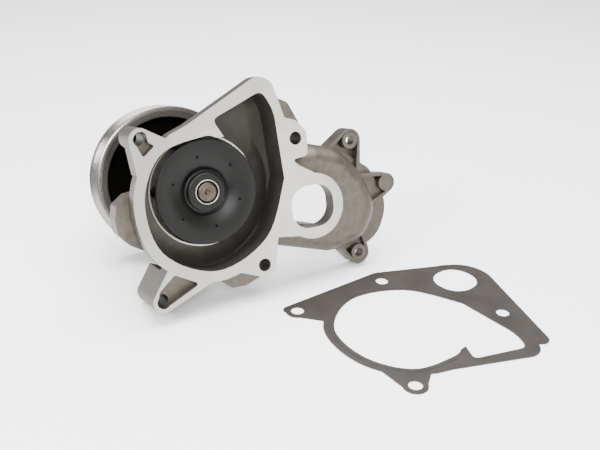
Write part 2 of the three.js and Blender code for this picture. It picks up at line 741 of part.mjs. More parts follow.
// Tip the pump on to its three feet and lay the gasket flat. The origin is on the bench, under the middle.
pump.rotation.x = -tilt;
pump.position.z = axisHeight;
gasketGroup.rotation.x = Math.PI / 2;
const gasketTurned = new THREE.Group().add(gasketGroup);
gasketTurned.rotation.z = gasketTurn;
gasketTurned.position.set(...gasketPlace, 0);

const scene = new THREE.Group().add(pump, gasketTurned);
scene.updateMatrixWorld(true);
const box = new THREE.Box3().setFromObject(scene, true);
scene.position.set(-(box.min.x + box.max.x) / 2, -(box.min.y + box.max.y) / 2, -box.min.z);

const waterPump = new THREE.Group().add(scene);
export default waterPump;
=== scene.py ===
# %% [markdown]
# # A coolant pump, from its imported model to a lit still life
# The pump's solids come in as a fixed frame, already in metres and already tipped on to the bench.
# Each cell finishes one thing: a camera, a metal, a turned piece, a pattern. The frame is loaded
# first, because every piece takes its place from it.

# %% Load the frame
import json
import math

import bmesh
import bpy
import numpy as np
from mathutils import Matrix, Vector


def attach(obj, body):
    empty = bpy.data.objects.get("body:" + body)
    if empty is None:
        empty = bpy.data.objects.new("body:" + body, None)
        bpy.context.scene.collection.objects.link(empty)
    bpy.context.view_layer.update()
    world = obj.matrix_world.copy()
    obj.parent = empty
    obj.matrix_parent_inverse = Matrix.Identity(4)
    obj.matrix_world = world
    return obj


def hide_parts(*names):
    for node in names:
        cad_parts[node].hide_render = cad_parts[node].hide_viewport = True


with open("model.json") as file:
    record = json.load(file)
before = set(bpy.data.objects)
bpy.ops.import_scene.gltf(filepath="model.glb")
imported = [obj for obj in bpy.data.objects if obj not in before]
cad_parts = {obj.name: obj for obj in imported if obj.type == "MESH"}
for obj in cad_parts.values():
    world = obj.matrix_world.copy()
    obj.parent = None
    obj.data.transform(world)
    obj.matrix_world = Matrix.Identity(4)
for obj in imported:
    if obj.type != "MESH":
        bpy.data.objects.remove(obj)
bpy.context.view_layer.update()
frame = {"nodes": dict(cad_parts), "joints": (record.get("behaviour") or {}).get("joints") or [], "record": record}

# %% [markdown]
# ## The pump's own frame
# The pump leans back on its pulley, so its shaft is not along any axis of the scene. Turned shapes
# are easy to describe along a shaft: a radius, and a depth behind the sealing face. One matrix takes
# such a point to the scene. It could be typed in as an angle, but the spinning joint already holds
# the shaft's place and direction, so the matrix is read from there.

# %% A matrix from millimetres on the shaft to metres in the scene
MM = 0.001
shaft_joint = next(j for j in frame["joints"] if j["name"] == "shaft_spin")
shaft_back = Vector(shaft_joint["axis"]).normalized()
JOINT_DEPTH = 52.0  # the joint stands at the row of balls, this far behind the sealing face
shaft_at_face = Vector(shaft_joint["pos_m"]) - shaft_back * JOINT_DEPTH * MM
across = Vector((1.0, 0.0, 0.0))
up_face = across.cross(shaft_back)
shaft_turn = Matrix((across, shaft_back, up_face)).transposed().to_4x4()
to_scene = Matrix.Translation(shaft_at_face) @ shaft_turn @ Matrix.Scale(MM, 4)
to_pump = to_scene.inverted()


def on_pump(x, y, z):
    return to_scene @ Vector((x, y, z))


print("shaft axis at the sealing face:", [round(v, 4) for v in shaft_at_face])

# %% [markdown]
# ## Camera
# A long lens from about half a metre keeps the pulley and the bowl in proportion. The camera stands
# to the left of the pump, a little above it, and is rolled by a degree and a half. A camera can be
# aimed with a constraint, but three written directions say exactly how it stands.

# %% Place the camera
EYE_FROM_PUMP = Vector((-0.1837, -0.4752, 0.2355))
LENS_MM, SENSOR_MM = 51.3, 36.0
view_right = Vector((0.889, -0.4573, 0.0233)).normalized()
view_ahead = Vector((0.417, 0.7876, -0.4536))
view_ahead = (view_ahead - view_ahead.dot(view_right) * view_right).normalized()
view_up = view_right.cross(view_ahead)
camera = bpy.data.objects.new("camera", bpy.data.cameras.new("camera"))
bpy.context.scene.collection.objects.link(camera)
eye = shaft_at_face + EYE_FROM_PUMP
view_turn = Matrix((view_right, view_up, -view_ahead)).transposed().to_4x4()
camera.matrix_world = Matrix.Translation(eye) @ view_turn
camera.data.sensor_width = SENSOR_MM
camera.data.lens = LENS_MM
camera.data.clip_start = 0.01
bpy.context.scene.camera = camera
print("camera stands", round(EYE_FROM_PUMP.length, 3), "m from the pump")

# %% [markdown]
# ## Light and floor
# Bare metal shows what stands around it more than it shows its own colour. A pale room with a few
# large soft lamps gives it broad, quiet reflections. The largest hangs above, one stands to the left
# and one in front, and a narrow one stands low, so that the turned rim of the pulley catches bright
# streaks.

# %% A pale floor and a pale room
FLOOR_HALF = 3.0
FLOOR_GAP = 0.0003  # the floor lies this far under the pump, so that no two faces share a plane
ROOM_LIGHT = 0.3
floor_mesh = bpy.data.meshes.new("bench")
corners = [(x * FLOOR_HALF, y * FLOOR_HALF, 0) for x, y in ((-1, -1), (1, -1), (1, 1), (-1, 1))]
floor_mesh.from_pydata(corners, [], [(0, 1, 2, 3)])
floor = bpy.data.objects.new("bench", floor_mesh)
floor.location.z = -FLOOR_GAP
bpy.context.scene.collection.objects.link(floor)

world = bpy.data.worlds.new("pale_room")
bpy.context.scene.world = world
world.use_nodes = True
background = world.node_tree.nodes["Background"].inputs
background["Color"].default_value = (1.0, 1.0, 1.0, 1)
background["Strength"].default_value = ROOM_LIGHT
print("floor of", 2 * FLOOR_HALF, "m in a pale room")


# %% Soft lamps
def soft_lamp(name, where, size, watts, aim=(0.0, 0.0, 0.07)):
    lamp = bpy.data.objects.new(name, bpy.data.lights.new(name, "AREA"))
    lamp.data.shape = "RECTANGLE"
    lamp.data.size, lamp.data.size_y = size
    lamp.data.energy = watts
    lamp.location = where
    lamp.rotation_euler = (Vector(aim) - Vector(where)).to_track_quat("-Z", "Y").to_euler()
    bpy.context.scene.collection.objects.link(lamp)


soft_lamp("lamp_left", (-0.8, -0.15, 0.6), (0.45, 0.3), 10)
soft_lamp("lamp_front", (-0.35, -1.0, 0.75), (0.55, 0.35), 20)
soft_lamp("lamp_above", (0.1, 0.1, 1.3), (1.5, 1.5), 80)
soft_lamp("lamp_low", (0.42, -1.0, 0.22), (0.16, 0.4), 3)
print("four soft lamps")

# %% [markdown]
# ## How a finish is written down
# Colours are chosen on a screen, so they are sRGB numbers, and a shader wants linear ones: one
# function turns them. Another adds a node with its settings and links in one line. Patterns read
# Object coordinates, which are metres here, so a grain of 0.5 mm has a scale of 1 / 0.0005.

# %% Colour and node helpers
def linear(hex_colour):
    parts = [int(hex_colour[i : i + 2], 16) / 255 for i in (1, 3, 5)]
    return tuple(c / 12.92 if c <= 0.04045 else ((c + 0.055) / 1.055) ** 2.4 for c in parts) + (1.0,)


def per_mm(size_mm):
    return 1.0 / (size_mm * MM)


def rings_per_mm(pitch_mm):
    """A wave texture turns 20 radians for each unit, so one ring needs this scale."""
    return 2 * math.pi / 20 * per_mm(pitch_mm)


def add(tree, kind, settings=None, **inputs):
    """One node: settings are its own properties, inputs are values or sockets to link."""
    node = tree.nodes.new(kind)
    for key, value in (settings or {}).items():
        setattr(node, key, value)
    for key, value in inputs.items():
        key = int(key[1:]) if key[0] == "i" and key[1:].isdigit() else key.replace("_", " ")
        if isinstance(value, bpy.types.NodeSocket):
            tree.links.new(value, node.inputs[key])
        else:
            node.inputs[key].default_value = value
    return node


def finish(name, colour, roughness, metallic=0.0, **more):
    """A new material with its Principled shader ready for patterns."""
    material = bpy.data.materials.new(name)
    material.use_nodes = True
    tree = material.node_tree
    shader = tree.nodes["Principled BSDF"]
    shader.inputs["Base Color"].default_value = linear(colour)
    shader.inputs["Roughness"].default_value = roughness
    shader.inputs["Metallic"].default_value = metallic
    for key, value in more.items():
        shader.inputs[key.replace("_", " ")].default_value = value
    place = tree.nodes.new("ShaderNodeTexCoord").outputs["Object"]
    return material, tree, shader, place


def two_tones(tree, amount, dark, light):
    """A ramp between two shades of one finish."""
    ramp = add(tree, "ShaderNodeValToRGB", i0=amount)
    ramp.color_ramp.elements[0].color = linear(dark)
    ramp.color_ramp.elements[1].color = linear(light)
    ramp.color_ramp.elements[0].position = 0.3
    ramp.color_ramp.elements[1].position = 0.7
    return ramp.outputs["Color"]


def grain(tree, shader, height, depth_mm, strength):
    """Small relief, with its true depth in millimetres."""
    bump = add(tree, "ShaderNodeBump", Height=height, Distance=depth_mm * MM, Strength=strength)
    tree.links.new(bump.outputs["Normal"], shader.inputs["Normal"])


print("helpers ready")

# %% [markdown]
# ## Cast aluminium
# The housing is a high-pressure aluminium casting. Its skin freezes against the steel die and is then
# blasted with fine shot, so it is a soft grey with a slight tan, and every facet of it scatters
# light. A fine noise gives the dimples, drawn a little coarser than the shot so that they show, and
# a slow one the patches where the die ran hotter.

# %% Cast aluminium, shot blasted
SHOT_MM, PATCH_MM = 0.9, 5
cast_skin, tree, shader, place = finish("cast_aluminium_blasted", "#57524a", 0.46, 0.8)
patches = add(tree, "ShaderNodeTexNoise", Vector=place, Scale=per_mm(PATCH_MM), Detail=5.0).outputs["Fac"]
dimples = add(tree, "ShaderNodeTexNoise", Vector=place, Scale=per_mm(SHOT_MM), Detail=2.0).outputs["Fac"]
tree.links.new(two_tones(tree, patches, "#514c45", "#605b53"), shader.inputs["Base Color"])
rough = add(tree, "ShaderNodeMapRange", Value=patches, To_Min=0.42, To_Max=0.58)
tree.links.new(rough.outputs["Result"], shader.inputs["Roughness"])
grain(tree, shader, dimples, 0.14, 0.7)
print("blasted skin, dimples every", SHOT_MM, "mm")

# %% [markdown]
# Inside the scroll the casting was never blasted: it keeps the browner skin of the die, a little smoother
# from the lubricant. Its colour is also painted much darker, as painted shade for the hollows where it is used.

# %% Cast aluminium, bare die skin, darkened as painted shade
DIE_GRAIN_MM, DIE_PATCH_MM = 0.9, 9
# Darker than the blasted skin: die skin, and painted shade for the hollows where it is used.
die_skin_and_painted_shade, tree, shader, place = finish("cast_aluminium_die_skin_and_painted_shade", "#37342f", 0.48, 0.6)
patches = add(
    tree, "ShaderNodeTexNoise", Vector=place, Scale=per_mm(DIE_PATCH_MM), Detail=5.0
).outputs["Fac"]
fine = add(
    tree, "ShaderNodeTexNoise", Vector=place, Scale=per_mm(DIE_GRAIN_MM), Detail=2.0
).outputs["Fac"]
tree.links.new(two_tones(tree, patches, "#36332e", "#3d3a35"), shader.inputs["Base Color"])
grain(tree, shader, fine, 0.05, 0.4)
print("die skin, grain every", DIE_GRAIN_MM, "mm")

# %% [markdown]
# ## Milled aluminium
# The sealing face was skimmed by a wide face mill. It is the brightest thing on the pump, and close
# up it carries shallow arcs, one for each pass of a tooth. The arcs are rings of a wave texture round
# a centre far to one side; at 0.7 mm they are coarser than real ones, so that they can be seen.

# %% Milled aluminium
CUTTER_MM, CLOUD_MM, ARC_DEPTH_MM = 0.7, 20, 0.004
CUTTER_CENTRE = (0.02, 0.0, 0.12)  # how far the rings are moved off the scene's middle, in metres
milled, tree, shader, place = finish("milled_aluminium", "#a5a29b", 0.36, 0.8)
moved = add(tree, "ShaderNodeMapping", Vector=place, Location=CUTTER_CENTRE).outputs["Vector"]
arcs = add(
    tree, "ShaderNodeTexWave", {"wave_type": "RINGS", "rings_direction": "Y"},
    Vector=moved, Scale=rings_per_mm(CUTTER_MM), Distortion=0.6, Detail=2.0, Detail_Scale=3.0,
).outputs["Fac"]
cloud = add(tree, "ShaderNodeTexNoise", Vector=place, Scale=per_mm(CLOUD_MM), Detail=3.0).outputs["Fac"]
tree.links.new(two_tones(tree, cloud, "#9f9c94", "#aba8a1"), shader.inputs["Base Color"])
rough = add(tree, "ShaderNodeMapRange", Value=arcs, To_Min=0.3, To_Max=0.4)
tree.links.new(rough.outputs["Result"], shader.inputs["Roughness"])
grain(tree, shader, arcs, ARC_DEPTH_MM, 0.6)
print("milled face, arcs every", CUTTER_MM, "mm")

# %% [markdown]
# ## Turned and ground steel
# A lathe tool leaves a fine thread of rings about the axis. Rings that all turn about one line can be
# had from the distance to that line, so the coordinates are first turned until the shaft is their Z,
# and a wave of rings does the rest. Fine marks also draw a highlight out across themselves; for that
# the shader is told which way they run, at right angles to both the shaft and the arm out to the point.
# Ground steel is the same with finer, fainter marks. The inside of the pulley is painted near black, as
# painted shade deep in the cup.

# %% Steel turned about the shaft
TINT_MM, RING_DEPTH_MM = 2.2, 0.004


def steel(name, colours, roughness, ring_mm, ring_strength, drawn_out=0.0):
    """drawn_out spreads a highlight across the turning marks, as fine rings do."""
    material, tree, shader, place = finish(name, colours[0], roughness, 1.0, Anisotropic=drawn_out)
    arm = add(
        tree, "ShaderNodeVectorMath", {"operation": "SUBTRACT"}, i0=place, i1=tuple(shaft_at_face)
    ).outputs["Vector"]
    if drawn_out:
        along_mark = add(
            tree, "ShaderNodeVectorMath", {"operation": "CROSS_PRODUCT"}, i0=arm, i1=tuple(shaft_back)
        )
        tree.links.new(along_mark.outputs["Vector"], shader.inputs["Tangent"])
    lean = math.atan2(-shaft_back.z, shaft_back.y)
    along = add(
        tree, "ShaderNodeMapping", {"vector_type": "POINT"},
        Vector=arm, Rotation=(lean - math.pi / 2, 0.0, 0.0),
    ).outputs["Vector"]
    rings = add(
        tree, "ShaderNodeTexWave", {"wave_type": "RINGS", "rings_direction": "Z"},
        Vector=along, Scale=rings_per_mm(ring_mm), Distortion=0.3, Detail=1.0,
    ).outputs["Fac"]
    part = add(tree, "ShaderNodeSeparateXYZ", Vector=along).outputs
    flat = add(tree, "ShaderNodeCombineXYZ", X=part["X"], Y=part["Y"]).outputs["Vector"]
    radius = add(tree, "ShaderNodeVectorMath", {"operation": "LENGTH"}, i0=flat).outputs["Value"]
    line = add(tree, "ShaderNodeCombineXYZ", X=radius, Z=part["Z"]).outputs["Vector"]
    tint = add(tree, "ShaderNodeTexNoise", Vector=line, Scale=per_mm(TINT_MM), Detail=4.0).outputs["Fac"]
    tree.links.new(two_tones(tree, tint, *colours), shader.inputs["Base Color"])
    wear = add(tree, "ShaderNodeMapRange", Value=rings, To_Min=roughness - 0.05, To_Max=roughness + 0.07)
    tree.links.new(wear.outputs["Result"], shader.inputs["Roughness"])
    grain(tree, shader, rings, RING_DEPTH_MM, ring_strength)
    return material


turned_steel = steel("zinc_plated_turned_steel", ("#4a4743", "#a19d97"), 0.22, 0.9, 0.5, 0.4)
shaft_steel = steel("ground_shaft_steel", ("#453d34", "#584f45"), 0.4, 0.7, 1.0)
sleeve_steel = steel("turned_sleeve_steel", ("#aaa7a2", "#bcb9b4"), 0.28, 0.6, 0.4)
bearing_steel = steel("ground_bearing_steel", ("#aaa7a2", "#c2bfba"), 0.18, 0.4, 0.2)
# The inside of the pulley's cup: painted near black as shade deep in the cup.
cup_inside_painted_shade = steel("cup_inside_painted_shade_black", ("#0c0b0a", "#131210"), 0.5, 1.4, 0.3)
stainless = steel("pressed_stainless_steel", ("#b3b1ac", "#c9c7c2"), 0.3, 1.2, 0.2)
print("six steels")


# %% [markdown]
# ## Moulded and coated finishes
# The impeller is a satin black moulding. The gasket is sheet steel with a thin rubber coat, so it is
# grey-brown, almost matt, and slightly cloudy where the coat is thin. The hidden pieces of the seal
# and the bearing get their own true finishes too, for whoever takes the pump apart.

# %% Plastic, rubber, carbon and ceramic
def moulded(name, dark, light, roughness, cloud_mm, grain_mm, grain_depth_mm, **more):
    material, tree, shader, place = finish(name, dark, roughness, **more)
    cloud = add(tree, "ShaderNodeTexNoise", Vector=place, Scale=per_mm(cloud_mm), Detail=3.0).outputs["Fac"]
    speck = add(tree, "ShaderNodeTexNoise", Vector=place, Scale=per_mm(grain_mm), Detail=2.0).outputs["Fac"]
    tree.links.new(two_tones(tree, cloud, dark, light), shader.inputs["Base Color"])
    wear = add(tree, "ShaderNodeMapRange", Value=cloud, To_Min=roughness - 0.06, To_Max=roughness + 0.06)
    tree.links.new(wear.outputs["Result"], shader.inputs["Roughness"])
    grain(tree, shader, speck, grain_depth_mm, 0.4)
    return material


impeller_black = moulded(
    "glass_filled_nylon_black", "#070706", "#0c0c0a", 0.4, 18, 0.7, 0.02, Specular_IOR_Level=0.2
)
peg_black = moulded("melted_peg_ends", "#020202", "#050505", 0.85, 3, 0.4, 0.01, Specular_IOR_Level=0.05)
coated_sheet = moulded(
    "rubber_coated_sheet_steel", "#2b2724", "#35302d", 0.46, 22, 0.5, 0.015, Metallic=0.35
)
nitrile = moulded("nitrile_rubber", "#1b1b1b", "#242424", 0.6, 6, 0.4, 0.03)
carbon = moulded("lapped_carbon", "#242527", "#303134", 0.3, 4, 0.3, 0.01)
ceramic = moulded("lapped_ceramic", "#d3cfc3", "#e2dfd6", 0.22, 8, 0.5, 0.005)
polyamide = moulded("polyamide_cage", "#b29a68", "#c2ab7a", 0.45, 8, 0.5, 0.02)
pale_bench = moulded("matt_bench_paper", "#fbfbfb", "#fdfdfd", 0.75, 200, 4, 0.02)
floor_mesh.materials.append(pale_bench)
print("eight moulded and coated finishes")


# %% [markdown]
# ## Making meshes
# Three ways are enough for this pump. A turned piece is a profile spun round the shaft in many fine
# steps. A cast or punched piece keeps the shape of its solid and gets its edges broken; its normals are
# weighted by area, so that a wide flat face stays flat up to its rounded rim. A repeated piece is one
# shape, copied by a small node tree.

# %% A profile turned round the shaft
def plain_mesh(name, mesh, *materials):
    piece = bpy.data.objects.new(name, mesh)
    bpy.context.scene.collection.objects.link(piece)
    for material in materials:
        mesh.materials.append(material)
    return piece


def shade(mesh, degrees=32):
    mesh.shade_smooth()
    mesh.set_sharp_from_angle(angle=math.radians(degrees))


def turned(name, profile, material, steps=144):
    """profile: closed list of (radius, depth) in millimetres; a radius of 0 closes on the axis."""
    form = bmesh.new()
    turn = [2 * math.pi * k / steps for k in range(steps)]
    rings = []
    for radius, depth in profile:
        if radius < 1e-6:
            rings.append([form.verts.new(on_pump(0, depth, 0))])
            continue
        ring = [on_pump(radius * math.cos(a), depth, radius * math.sin(a)) for a in turn]
        rings.append([form.verts.new(point) for point in ring])
    for one, two in zip(rings, rings[1:] + rings[:1]):
        if len(one) == len(two) == 1:
            continue
        for k in range(steps):
            n = (k + 1) % steps
            corner = [one[k % len(one)], one[n % len(one)], two[n % len(two)], two[k % len(two)]]
            form.faces.new(list(dict.fromkeys(corner)))
    bmesh.ops.recalc_face_normals(form, faces=form.faces)
    mesh = bpy.data.meshes.new(name)
    form.to_mesh(mesh)
    form.free()
    shade(mesh)
    print(name, "has", len(mesh.polygons), "faces")
    return plain_mesh(name, mesh, material)


def rounded(profile, radius, steps=3):
    """The profile with each corner of it rounded; points may carry their own radius as a third number."""
    made = []
    count = len(profile)
    for i, point in enumerate(profile):
        here = Vector(point[:2])
        r = point[2] if len(point) > 2 else radius
        before = Vector(profile[i - 1][:2]) - here
        after = Vector(profile[(i + 1) % count][:2]) - here
        if here.x < 1e-6 or r <= 0 or before.length < 1e-6 or after.length < 1e-6:
            made.append(tuple(here))
            continue
        reach = min(r, 0.45 * before.length, 0.45 * after.length)
        start = here + before.normalized() * reach
        end = here + after.normalized() * reach
        for k in range(steps + 1):
            t = k / steps
            made.append(tuple((1 - t) ** 2 * start + 2 * t * (1 - t) * here + t**2 * end))
    return made


# %% A solid with its edges broken
EDGE_DEGREES = 34
WELD_M = 2e-6


def broken_edges(node, name, width_mm, fine_edge=None, slot_of=None, materials=()):
    """A copy of a solid, merged, with rounded edges.
    Both helpers work in the pump's frame: fine_edge(middle) gives a share of the width, and
    slot_of(centre, normal) a place in the list of materials."""
    form = bmesh.new()
    form.from_mesh(frame["nodes"][node].data)
    bmesh.ops.remove_doubles(form, verts=form.verts, dist=WELD_M)
    bmesh.ops.dissolve_degenerate(form, edges=form.edges, dist=WELD_M)
    bmesh.ops.dissolve_limit(form, angle_limit=math.radians(1.0), verts=form.verts, edges=form.edges)
    turn = to_pump.to_3x3().normalized()
    if slot_of:
        for face in form.faces:
            face.material_index = slot_of(to_pump @ face.calc_center_median(), turn @ face.normal)
    weight = form.edges.layers.float.new("bevel_weight_edge")
    for edge in form.edges:
        if len(edge.link_faces) == 2 and edge.calc_face_angle() > math.radians(EDGE_DEGREES):
            middle = to_pump @ ((edge.verts[0].co + edge.verts[1].co) / 2)
            edge[weight] = fine_edge(middle) if fine_edge else 1.0
    mesh = bpy.data.meshes.new(name)
    form.to_mesh(mesh)
    form.free()
    shade(mesh, EDGE_DEGREES)
    rough = plain_mesh(name, mesh, *materials)
    bevel = rough.modifiers.new("edges", "BEVEL")
    bevel.limit_method = "WEIGHT"
    bevel.width = width_mm * MM
    bevel.segments = 3
    bevel.use_clamp_overlap = True
    bevel.miter_outer = "MITER_ARC"
    bevel.harden_normals = True
    level = rough.modifiers.new("flat_faces_stay_flat", "WEIGHTED_NORMAL")
    level.weight = 100
    level.keep_sharp = True
    return applied(rough, keep_normals=True)


def applied(piece, keep_normals=False):
    """The same piece with its modifiers made part of its mesh."""
    seen = piece.evaluated_get(bpy.context.evaluated_depsgraph_get())
    mesh = bpy.data.meshes.new_from_object(seen)
    piece.modifiers.clear()
    piece.data = mesh
    if not keep_normals:
        shade(mesh)
    print(piece.name, "has", len(mesh.polygons), "faces")
    return piece


# %% [markdown]
# ## The housing
# One casting carries the scroll, the bolt ears, the bearing nose and the thermostat bowl. Its solid
# already has the true outline, so it is copied rather than drawn again. Cast edges are soft, about a
# millimetre, and a milled face cuts through them and leaves its own rim almost sharp. Where a face
# stands and which way it points choose its finish: milled on the sealing face, the rim of the well and
# the ends at the back, die skin painted darker as shade inside the scroll and in the bolt holes, blasted
# everywhere else.

# %% Cast housing with milled faces
CAST, MILLED, DIE_SKIN_AND_SHADE = 0, 1, 2  # places in the housing's list of materials
CAST_EDGE_MM, MILLED_RIM = 0.9, 0.28  # a milled rim is this share of a cast edge
BOLTS = [(66.4, 25.9), (33.4, -56.4), (-40.0, -66.0), (-40.4, 40.6)]
BOLT_HOLE_R = 4.5
COLUMN, COLUMN_R, COLUMN_FROM = BOLTS[2], 9.0, 30.0
BOWL_BACK, NOSE_END_FROM = 28.0, 75.0
WELL_FLOOR, WELL_R, INSIDE_R = 22.8, 36.3, 34.0
LIP_FRONT, LIP_WIDTH = 11.0, 1.1
FLAT, NEARLY_FLAT = 0.98, 0.9  # how squarely a face must point along the shaft
ON_PLANE, ON_LIP, ON_HOLE, ON_SCROLL = 0.1, 0.6, 0.25, 0.6  # how near counts as there, in mm

# The scroll's radius at each eighth of a turn, with the flow, and its straight outlet at the end.
SCROLL_RADII = [55.0, 53.0, 53.2, 49.6, 43.3, 41.0, 36.6]
OUTLET_X, OUTLET_Z, OUTLET_R = 56.0, 62.0, 37.0
SLOPE_X, SLOPE_Z, SLOPE = 12.0, 48.0, 0.4


def in_scroll(x, z):
    """True inside the scroll's mouth or its outlet."""
    r = math.hypot(x, z)
    angle = math.degrees(math.atan2(z, x)) % 360
    if 0 < angle < 90:
        below_slope = z < SLOPE_Z + SLOPE * (x - SLOPE_X)
        return x < OUTLET_X and z < OUTLET_Z and (below_slope or r < OUTLET_R)
    along = (360 - angle) % 360 / 45
    k = min(int(along), len(SCROLL_RADII) - 2)
    return r < SCROLL_RADII[k] + (SCROLL_RADII[k + 1] - SCROLL_RADII[k]) * (along - k) + ON_SCROLL


def housing_finish_and_painted_shade(centre, normal):
    x, y, z = centre
    r = math.hypot(x, z)
    behind_column = math.dist((x, z), COLUMN) < COLUMN_R and y > COLUMN_FROM
    if abs(y) < ON_PLANE and normal.y < -FLAT:
        return MILLED
    if normal.y > FLAT and (abs(y - BOWL_BACK) < ON_PLANE or y > NOSE_END_FROM or behind_column):
        return MILLED
    if abs(y - LIP_FRONT) < ON_LIP and normal.y < -NEARLY_FLAT and r < WELL_R + LIP_WIDTH:
        return MILLED
    # Bolt holes and the scroll's inside take the die skin, painted darker as shade in these hollows.
    if any(abs(math.dist((x, z), at) - BOLT_HOLE_R) < ON_HOLE for at in BOLTS):
        return DIE_SKIN_AND_SHADE
    if ON_PLANE < y < WELL_FLOOR + 4 and in_scroll(x, z) and r > INSIDE_R and normal.y < 0.5:
        return DIE_SKIN_AND_SHADE
    return CAST


def housing_edge(middle):
    return MILLED_RIM if abs(middle.y) < ON_PLANE else 1.0


housing = broken_edges(
    "pump_housing", "housing_casting", CAST_EDGE_MM, housing_edge, housing_finish_and_painted_shade,
    (cast_skin, milled, die_skin_and_painted_shade),
)
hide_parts("pump_housing")
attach(housing, "housing")

# %% [markdown]
# ## The gasket
# The gasket is stamped from coated sheet. Stamping leaves a clean edge with a hair of rounding, and
# the rubber bead stands proud along the scroll.

# %% Stamped gasket
STAMPED_EDGE_MM = 0.12
gasket = broken_edges("gasket", "gasket_sheet", STAMPED_EDGE_MM, materials=(coated_sheet,))
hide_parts("gasket")
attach(gasket, "housing")

# %% [markdown]
# ## The pulley
# A steel cup is spun from sheet and its rim is turned with six V grooves for the belt. Everything on
# it is round, so one closed profile spun about the shaft makes it, with the corners of the profile
# rounded first. The grooves are added to the profile by a loop. The profile runs out from the bore,
# round the inside of the cup, across the rim from front to back, and home along the web.

# %% Six-rib pulley
PULLEY_R, PULLEY_BACK, PULLEY_WIDTH, CUP_R = 54.0, 104.5, 24.5, 45.6
RIB_PITCH, GROOVES, GROOVE_DEPTH, RIB_FLAT = 3.56, 6, 2.6, 0.35
RIB_TOP_R = PULLEY_R - 0.6
WEB = 4.0
HUB_R, BORE_R = 14.0, 8.26

front = PULLEY_BACK - PULLEY_WIDTH
first = front + (PULLEY_WIDTH - RIB_PITCH * GROOVES) / 2
profile = [
    (BORE_R, front + 4, 0.4), (HUB_R, front + 4, 0.6), (HUB_R, PULLEY_BACK - WEB - 6, 5.0),
    (HUB_R + 6, PULLEY_BACK - WEB - 1, 2.0), (CUP_R - 3, PULLEY_BACK - WEB - 1, 3.0),
    (CUP_R, PULLEY_BACK - WEB - 4, 3.0), (CUP_R, front + 1, 0.5), (CUP_R + 1, front, 0.5),
    (PULLEY_R - 1.2, front + 0.6, 1.0), (PULLEY_R, front + 1.1, 0.6), (PULLEY_R, first - 0.2, 0.2),
]
for k in range(GROOVES):
    middle = first + (k + 0.5) * RIB_PITCH
    flank = RIB_PITCH / 2 - RIB_FLAT
    profile += [
        (RIB_TOP_R, middle - flank, 0.3), (RIB_TOP_R - GROOVE_DEPTH, middle, 0.35),
        (RIB_TOP_R, middle + flank, 0.3),
    ]
profile += [
    (PULLEY_R, PULLEY_BACK - 1.6, 0.2), (PULLEY_R, PULLEY_BACK - 0.8, 0.3),
    (PULLEY_R - 0.8, PULLEY_BACK, 0.3), (CUP_R - 1, PULLEY_BACK, 0.8), (CUP_R - 4, PULLEY_BACK - 1, 1.0),
    (HUB_R + 2, PULLEY_BACK - 1, 0.6), (HUB_R + 1, PULLEY_BACK, 0.6), (BORE_R, PULLEY_BACK, 0.3),
]
pulley = turned("pulley_turned", rounded(profile, 0.3, 4), turned_steel, 160)

# The cup's inside, from just behind its opening, takes the second material: near black, painted shade deep in the
# cup.
pulley.data.materials.append(cup_inside_painted_shade)
for face in pulley.data.polygons:
    x, y, z = to_pump @ face.center
    face.material_index = int(math.hypot(x, z) < CUP_R + 0.2 and front + 2.5 < y < PULLEY_BACK - 1.5)
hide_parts("pulley")
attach(pulley, "rotor")

# %% [markdown]
# ## The impeller
# The front of the impeller is a dished disc with a raised hub. Behind it stand six swept vanes, each
# the same, and the tips of their pegs show through the disc as six dots. The disc is turned. The
# vanes and the pegs are patterns: one shape in a node tree that copies it round a circle.

# %% A node tree that copies a shape round the shaft
def ring_tree():
    tree = bpy.data.node_groups.new("copies_round_the_shaft", "GeometryNodeTree")
    face = tree.interface
    face.new_socket("Geometry", in_out="INPUT", socket_type="NodeSocketGeometry")
    face.new_socket("Copies", in_out="INPUT", socket_type="NodeSocketInt").default_value = 6
    face.new_socket("First Angle", in_out="INPUT", socket_type="NodeSocketFloat")
    face.new_socket("Material", in_out="INPUT", socket_type="NodeSocketMaterial")
    face.new_socket("Geometry", in_out="OUTPUT", socket_type="NodeSocketGeometry")
    given = tree.nodes.new("NodeGroupInput").outputs
    points = add(tree, "GeometryNodePoints", Count=given["Copies"]).outputs["Points"]
    index = tree.nodes.new("GeometryNodeInputIndex").outputs["Index"]
    step = add(
        tree, "ShaderNodeMath", {"operation": "DIVIDE"}, i0=2 * math.pi, i1=given["Copies"]
    ).outputs[0]
    angle = add(
        tree, "ShaderNodeMath", {"operation": "MULTIPLY_ADD"}, i0=index, i1=step, i2=given["First Angle"]
    ).outputs[0]
    turn = add(tree, "ShaderNodeCombineXYZ", Y=angle).outputs["Vector"]
    copies = add(
        tree, "GeometryNodeInstanceOnPoints", Points=points, Instance=given["Geometry"], Rotation=turn
    ).outputs["Instances"]
    real = add(tree, "GeometryNodeRealizeInstances", Geometry=copies).outputs["Geometry"]
    coated = add(tree, "GeometryNodeSetMaterial", Geometry=real, Material=given["Material"])
    add(tree, "NodeGroupOutput", Geometry=coated.outputs["Geometry"])
    return tree


copies_round = ring_tree()
print(copies_round.name, "has", len(copies_round.nodes), "nodes")


def copied_round(name, mesh, copies, material, first_angle=0.0):
    """A shape in pump millimetres, copied round the shaft and then taken to the scene."""
    piece = plain_mesh(name, mesh)
    modifier = piece.modifiers.new("copies", "NODES")
    modifier.node_group = copies_round
    values = {"Copies": copies, "First Angle": first_angle, "Material": material}
    for socket in copies_round.interface.items_tree:
        if socket.in_out == "INPUT" and socket.name in values:
            modifier[socket.identifier] = values[socket.name]
    applied(piece)
    piece.data.transform(to_scene)
    return piece


